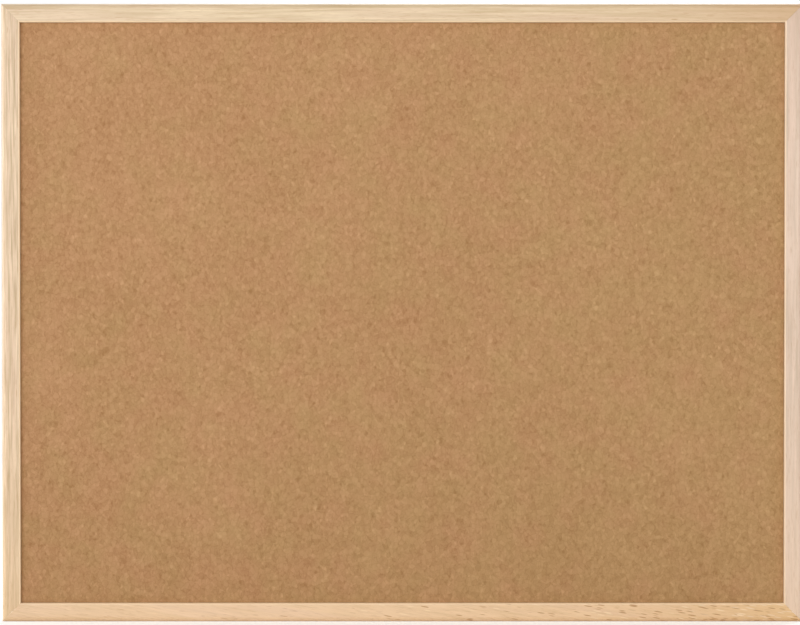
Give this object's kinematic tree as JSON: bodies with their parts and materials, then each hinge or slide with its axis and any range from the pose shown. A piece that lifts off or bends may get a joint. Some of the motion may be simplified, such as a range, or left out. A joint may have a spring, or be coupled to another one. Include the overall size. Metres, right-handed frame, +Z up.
{
  "type": "cork pin board",
  "caption": "Wall-hung cork pin board: a flat cork face on a softboard core, held in the groove of a slim mitred wooden frame with sawtooth hangers behind.",
  "frame": {"origin": "midway between the two wall nails, where the hangers' teeth rest on them, in the plane of the frame's back", "axes": "+X to the right as the board hangs, +Y towards the wall, +Z up; the cork faces -Y"},
  "size_m": [0.45, 0.0189, 0.3469],
  "materials": {
    "frame_wood": "satin",
    "cork": "matte",
    "softboard": "matte",
    "backing": "matte",
    "steel": "satin"
  },
  "bodies": {
    "root": {"top_rail": "frame_wood", "bottom_rail": "frame_wood", "left_stile": "frame_wood", "right_stile": "frame_wood", "cork_sheet": "cork", "softboard_core": "softboard", "backing_card": "backing", "corner_staple_top_left_1": "steel", "corner_staple_top_left_2": "steel", "corner_staple_top_right_1": "steel", "corner_staple_top_right_2": "steel", "corner_staple_bottom_right_1": "steel", "corner_staple_bottom_right_2": "steel", "corner_staple_bottom_left_1": "steel", "corner_staple_bottom_left_2": "steel", "hanger_left": "steel", "hanger_right": "steel", "hanger_nail_left_outer": "steel", "hanger_nail_left_inner": "steel", "hanger_nail_right_outer": "steel", "hanger_nail_right_inner": "steel"}
  },
  "joints": []
}
